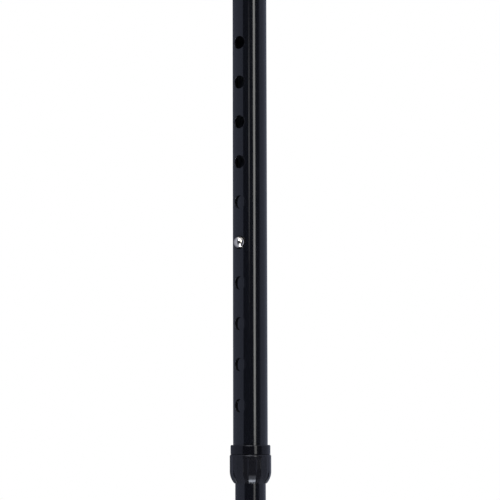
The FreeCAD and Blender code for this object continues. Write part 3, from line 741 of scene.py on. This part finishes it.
# Short tube that holds the shaft's foot, its mouth rounded inside and out.
def hubSocket():
    low, high = boxOf("base_socket")
    radius, bore = (high[0] - low[0]) / 2, lowerRadius + socket["clearance"]
    rounding = socket["mouthRounding"]
    profile = profileOf([(bore, low[2]), (radius, low[2]), (radius, high[2], rounding),
                         (bore, high[2], rounding), (bore, low[2])], 4)[:-1]
    skin = turnedSkin(profile, (shaftX, shaftY, 0), socket["sides"])
    makePiece("hubSocket", [skin], "lower_shaft", [powder], ["base_socket"])


plate = {"corner": 8 * mm, "bevel": 0.7 * mm, "hole": 12.72 * mm, "sides": 128}


# Rectangle with round corners, by angle from +X: each quarter is an arc about its own centre.
def roundedRectangle(halfX, halfY, corner):
    quarter = np.linspace(0, np.pi / 2, plate["sides"] // 4)
    angle = np.concatenate([quarter + k * np.pi / 2 for k in range(4)])
    signs = np.repeat([(1, 1), (-1, 1), (-1, -1), (1, -1)], plate["sides"] // 4, 0)
    centre = signs * np.array([halfX - corner, halfY - corner])
    return centre + corner * np.stack([np.cos(angle), np.sin(angle)], 1)


# Plate with rounded edges: rings from the middle out over the top, round and back below.
def hubPlate(name, node, hole):
    low, high = boxOf(node)
    centre, half = (low + high) / 2, (high - low) / 2
    bevel, corner = plate["bevel"], plate["corner"]
    rim = roundedRectangle(half[0], half[1], corner)
    inset = roundedRectangle(half[0] - bevel, half[1] - bevel, corner - bevel)
    angle = np.arctan2(inset[:, 1], inset[:, 0])
    core = np.stack([np.cos(angle), np.sin(angle)], 1) * hole
    bends = np.radians([30, 60, 90])
    edge = [(inset + (rim - inset) * math.sin(b), bevel * (1 - math.cos(b))) for b in bends]
    rows = [(core, high[2]), (inset, high[2])]
    rows += [(ring, high[2] - drop) for ring, drop in edge]
    rows += [(ring, low[2] + drop) for ring, drop in edge[::-1]]
    rows += [(inset, low[2]), (core, low[2])]
    points = np.stack([np.insert(ring + centre[:2], 2, z, 1) for ring, z in rows])
    skin = patch(points, aroundRows=hole > 0)
    makePiece(name, [skin], "lower_shaft", [powder], [node])


weld = {"radius": 1.5 * mm, "ripple": 2.2 * mm, "swell": 0.12, "seamLength": 13 * mm,
        "sunk": 0.4, "seamRise": 0.4 * mm, "sides": 16, "ringSteps": 216, "seamSteps": 48}


# A weld bead is a small circle carried along the joint; its size rises and falls with each
# puddle as |sin|, and an open bead tapers to nothing at its ends.
def weldBead(line, closed):
    ahead = np.roll(line, -1, 0) - np.roll(line, 1, 0) if closed else np.gradient(line, axis=0)
    headings = ahead / np.linalg.norm(ahead, axis=1)[:, None]
    run = np.cumsum(np.linalg.norm(np.diff(line, axis=0, prepend=line[:1]), axis=1))
    size = weld["radius"] * (1 + weld["swell"] * np.abs(np.sin(np.pi * run / weld["ripple"])))
    if not closed:
        size = size * np.sqrt(1 - np.linspace(-1, 1, len(line)) ** 4)
    return pipeSkin(line, headings, size, (0, 0, 1), weld["sides"], closed)


# One bead round the socket, and one wherever a leg tube leaves the edge of a plate.
def welds():
    socketLow, socketHigh = boxOf("base_socket")
    upper, lower = boxOf("upper_hub_plate"), boxOf("lower_hub_plate")
    around = np.linspace(0, 2 * np.pi, weld["ringSteps"], endpoint=False)
    proud = weld["radius"] * weld["sunk"]
    radius = (socketHigh[0] - socketLow[0]) / 2 + proud
    ring = np.stack([shaftX + radius * np.cos(around), shaftY + radius * np.sin(around),
                     upper[1][2] + proud + 0 * around], 1)
    skins = [weldBead(ring, True)]
    across = np.linspace(-1, 1, weld["seamSteps"])
    for node in ("front_leg_tube", "rear_leg_tube"):
        tubeX, level = levelRun(node), boxOf(node)[1][2] - legs["radius"]
        for plateBox, facing in ((upper, 1), (lower, -1)):
            for edgeY in (plateBox[0][1], plateBox[1][1]):
                lean = across * weld["seamLength"] / 2 / legs["radius"]
                rise = facing * (legs["radius"] * np.cos(lean) + weld["seamRise"])
                skins.append(weldBead(np.stack([tubeX + legs["radius"] * np.sin(lean),
                                                edgeY + 0 * lean, level + rise], 1), False))
    makePiece("weldBeads", skins, "lower_shaft", [powder], sharp=60)


screw = {"flats": 10 * mm, "corners": 5.87 * mm, "head": 4 * mm, "shank": 3 * mm,
         "thread": 9 * mm, "threadPitch": 1 * mm, "threadDepth": 0.3 * mm}


# Hexagon by angle: half the flats over the cosine of the angle off a flat, and never more than
# the turned profile, which gives the curved edges of a chamfered head.
def hexagonSkin(profile, node, chamfered):
    def hexagon(angle, r, z):
        off = (angle + np.pi / 6) % (np.pi / 3) - np.pi / 6
        return np.where(chamfered[:, None], np.minimum(r, screw["flats"] / 2 / np.cos(off)), r)
    centre = middleOf(node)
    start = (centre[0], boxOf(node)[0][1], centre[2])
    return turnedSkin(profile, start, 144, (0, 1, 0), hexagon, closed=False)


def baseScrew():
    low, high = boxOf("base_bolt")
    length, corners, head, shank = high[1] - low[1], screw["corners"], screw["head"], screw["shank"]
    half = screw["threadPitch"] / 2
    crests = np.arange(int(screw["thread"] / half))
    thread = np.stack([shank - screw["threadDepth"] * (crests % 2),
                       length - screw["thread"] - 0.6 * mm + half * crests], 1)
    hexPart = [[0, 0], [4.4 * mm, 0], [corners, 0.75 * mm], [corners, head - 0.1 * mm],
               [4.9 * mm, head]]
    profile = np.concatenate([hexPart, [[shank, head]], thread, [[2.4 * mm, length], [0, length]]])
    skin = hexagonSkin(profile, "base_bolt", np.arange(len(profile)) < len(hexPart))
    makePiece("socketScrew", [skin], "lower_shaft", [zinc], ["base_bolt"], 25)


def baseNut():
    low, high = boxOf("base_nut")
    thick, corners, shank = high[1] - low[1], screw["corners"], screw["shank"]
    bore = shank + 0.05 * mm
    profile = np.array([[bore, 0], [4.8 * mm, 0], [corners, 0.5 * mm], [corners, thick - 0.6 * mm],
                        [4.7 * mm, thick], [bore + 0.3 * mm, thick], [bore, thick - 0.3 * mm],
                        [bore, 0]])
    chamfered = (np.arange(len(profile)) > 0) & (np.arange(len(profile)) < 5)
    skin = hexagonSkin(profile, "base_nut", chamfered)
    makePiece("socketNut", [skin], "lower_shaft", [zinc], ["base_nut"], 25)


legTube("frontLegs", "front_leg_tube", ("front_left_tip", "front_right_tip"))
legTube("rearLegs", "rear_leg_tube", ("rear_left_tip", "rear_right_tip"))
for tip in ("front_left", "front_right", "rear_left", "rear_right"):
    rubberFoot(tip + "_foot", tip + "_tip")
hubSocket()
hubPlate("upperPlate", "upper_hub_plate", plate["hole"])
hubPlate("lowerPlate", "lower_hub_plate", 0)
welds()
baseScrew()
baseNut()
print("base ready")


# These nodes keep the shape they have and get their real finish.
keptFinish = {"guide_bush": nylon, "grip_ring": nylon, "tip_washers": zinc,
              "base_washers": zinc}
for node, material in keptFinish.items():
    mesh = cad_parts[node].data
    mesh.materials.clear()
    mesh.materials.append(material)
print("kept nodes finished")


view = {"azimuth": 39.5, "distance": 1.1, "height": 0.3324, "pitch": 6.0, "roll": -0.13,
        "lens": 126.7}

# Each light is a window in the sky: azimuth from the camera's own side, positive to its right,
# and elevation, both in degrees. An edge is half the width over which its light fades.
room = (0.052, 0.056, 0.074)
lights = {
    "leftPanel": {"azimuth": (-130, -46), "azimuthEdge": (60, 0.8), "height": (-88, 60),
                  "heightEdge": (10, 10), "strength": 0.5, "colour": "#d8e1ff"},
    "rightPanel": {"azimuth": (69, 165), "azimuthEdge": (9, 50), "height": (-88, 60),
                   "heightEdge": (10, 10), "strength": 0.52, "colour": "#d8e1ff"},
    "tallStrip": {"azimuth": (23.4, 36.4), "azimuthEdge": (1.5, 1.5), "height": (-1.2, 60),
                  "heightEdge": (2.6, 10), "strength": 5.0, "colour": "#fefefb"},
    "faintStrip": {"azimuth": (-8.0, -1.6), "azimuthEdge": (1.2, 1.2), "height": (6.9, 12.1),
                   "heightEdge": (2.2, 1.8), "strength": 1.7, "colour": "#ffffff"},
    "topBox": {"azimuth": (-30, 12), "azimuthEdge": (5, 5), "height": (30, 62),
               "heightEdge": (4, 6), "strength": 5.6, "colour": "#eef2ff"},
    "tableGlow": {"azimuth": (-12, 30), "azimuthEdge": (4, 4), "height": (-86, -27),
                  "heightEdge": (8, 4), "strength": 2.0, "colour": "#eaf1ff"},
    "tableBright": {"azimuth": (-12, 30), "azimuthEdge": (4, 4), "height": (-86, -54),
                    "heightEdge": (8, 3), "strength": 15.0, "colour": "#eaf1ff"},
    "backTop": {"azimuth": (-360, 360), "azimuthEdge": (1, 1), "height": (58, 100),
                "heightEdge": (12, 1), "strength": 0.9, "colour": "#eef2ff"},
}


# 1 inside low to high, falling smoothly to 0 over each edge.
def windowOf(tree, value, span, edges):
    sides = []
    for limit, edge, inside in ((span[0], edges[0], 1), (span[1], edges[1], -1)):
        sides.append(addNode(tree, "ShaderNodeMapRange", links={"Value": value},
                             inputs={"From Min": limit - edge, "From Max": limit + edge,
                                     "To Min": (1 - inside) / 2, "To Max": (1 + inside) / 2},
                             interpolation_type="SMOOTHSTEP").outputs["Result"])
    return addNode(tree, "ShaderNodeMath", operation="MULTIPLY",
                   links={0: sides[0], 1: sides[1]}).outputs["Value"]


# A dim room with soft light panels, and a white backdrop that only the camera sees.
def studioSky():
    world = bpy.data.worlds.new("studioSky")
    world.use_nodes = True
    tree = world.node_tree
    tree.nodes.clear()

    def maths(operation, first, second=0.0):
        node = addNode(tree, "ShaderNodeMath", links={0: first}, operation=operation)
        node.inputs[1].default_value = second
        return node

    place = addNode(tree, "ShaderNodeTexCoord")
    turned = addNode(tree, "ShaderNodeMapping", links={"Vector": place.outputs["Generated"]},
                     inputs={"Rotation": (0, 0, -math.radians(view["azimuth"]))})
    axes = addNode(tree, "ShaderNodeSeparateXYZ", links={"Vector": turned.outputs["Vector"]})
    ahead = maths("MULTIPLY", axes.outputs["Y"], -1.0)
    around = maths("ARCTAN2", axes.outputs["X"])
    tree.links.new(ahead.outputs["Value"], around.inputs[1])
    azimuth = maths("MULTIPLY", around.outputs["Value"], 180 / math.pi).outputs["Value"]
    tilt = maths("ARCSINE", axes.outputs["Z"])
    height = maths("MULTIPLY", tilt.outputs["Value"], 180 / math.pi).outputs["Value"]
    total = addNode(tree, "ShaderNodeCombineXYZ", inputs=dict(zip("XYZ", room))).outputs[0]
    for light in lights.values():
        across = windowOf(tree, azimuth, light["azimuth"], light["azimuthEdge"])
        up = windowOf(tree, height, light["height"], light["heightEdge"])
        share = addNode(tree, "ShaderNodeMath", operation="MULTIPLY", links={0: across, 1: up})
        colour = np.array(linearColour(light["colour"])[:3]) * light["strength"]
        glow = addNode(tree, "ShaderNodeVectorMath", operation="SCALE",
                       inputs={0: tuple(colour)}, links={"Scale": share.outputs["Value"]})
        total = addNode(tree, "ShaderNodeVectorMath", operation="ADD",
                        links={0: total, 1: glow.outputs["Vector"]}).outputs["Vector"]
    lit = addNode(tree, "ShaderNodeBackground", links={"Color": total})
    backdrop = addNode(tree, "ShaderNodeBackground", inputs={"Color": (1, 1, 1, 1)})
    ray = addNode(tree, "ShaderNodeLightPath")
    mixed = addNode(tree, "ShaderNodeMixShader",
                    links={0: ray.outputs["Is Camera Ray"], 1: lit.outputs["Background"],
                           2: backdrop.outputs["Background"]})
    addNode(tree, "ShaderNodeOutputWorld", links={"Surface": mixed.outputs["Shader"]})
    bpy.context.scene.world = world


floor = {"radius": 3.0, "drop": 0.2 * mm, "colour": "#f4f4f4", "glow": 0.74}


# White floor, lit a little from within so that it fades into the backdrop, and clear from below.
def paleFloor():
    angle = np.linspace(0, 2 * np.pi, 96, endpoint=False)
    rim = np.stack([np.cos(angle), np.sin(angle), 0 * angle], 1) * floor["radius"]
    mesh = bpy.data.meshes.new("paleFloor")
    mesh.from_pydata((rim - [0, 0, floor["drop"]]).tolist(), [], [list(range(len(rim)))])
    sheet = bpy.data.objects.new("paleFloor", mesh)
    bpy.context.scene.collection.objects.link(sheet)
    material, tree, shader, _ = newMaterial("whiteFloor", **{
        "Base Color": linearColour(floor["colour"]), "Roughness": 0.9,
        "Emission Color": (1, 1, 1, 1), "Emission Strength": floor["glow"]})
    output = next(node for node in tree.nodes if node.type == "OUTPUT_MATERIAL")
    side = addNode(tree, "ShaderNodeNewGeometry")
    clear = addNode(tree, "ShaderNodeBsdfTransparent")
    mixed = addNode(tree, "ShaderNodeMixShader",
                    links={0: side.outputs["Backfacing"], 1: shader.outputs["BSDF"],
                           2: clear.outputs["BSDF"]})
    tree.links.new(mixed.outputs["Shader"], output.inputs["Surface"])
    mesh.materials.append(material)
    sheet.visible_glossy = False


# Long lens a little below the middle of the shaft, looking slightly up at it.
def longLens():
    camera = bpy.data.cameras.new("camera")
    camera.lens, camera.sensor_width = view["lens"], 36
    camera.clip_start, camera.clip_end = 0.01, 100
    eye = bpy.data.objects.new("camera", camera)
    bpy.context.scene.collection.objects.link(eye)
    azimuth = math.radians(view["azimuth"])
    spot = Vector((shaftX + view["distance"] * math.sin(azimuth),
                   shaftY - view["distance"] * math.cos(azimuth), view["height"]))
    pitch, roll = math.radians(90 + view["pitch"]), math.radians(view["roll"])
    turn = (Matrix.Rotation(azimuth, 4, "Z") @ Matrix.Rotation(pitch, 4, "X")
            @ Matrix.Rotation(roll, 4, "Z"))
    eye.matrix_world = Matrix.Translation(spot) @ turn
    bpy.context.scene.camera = eye


studioSky()
paleFloor()
longLens()
bpy.context.scene.view_settings.view_transform = "Standard"
print("studio ready")
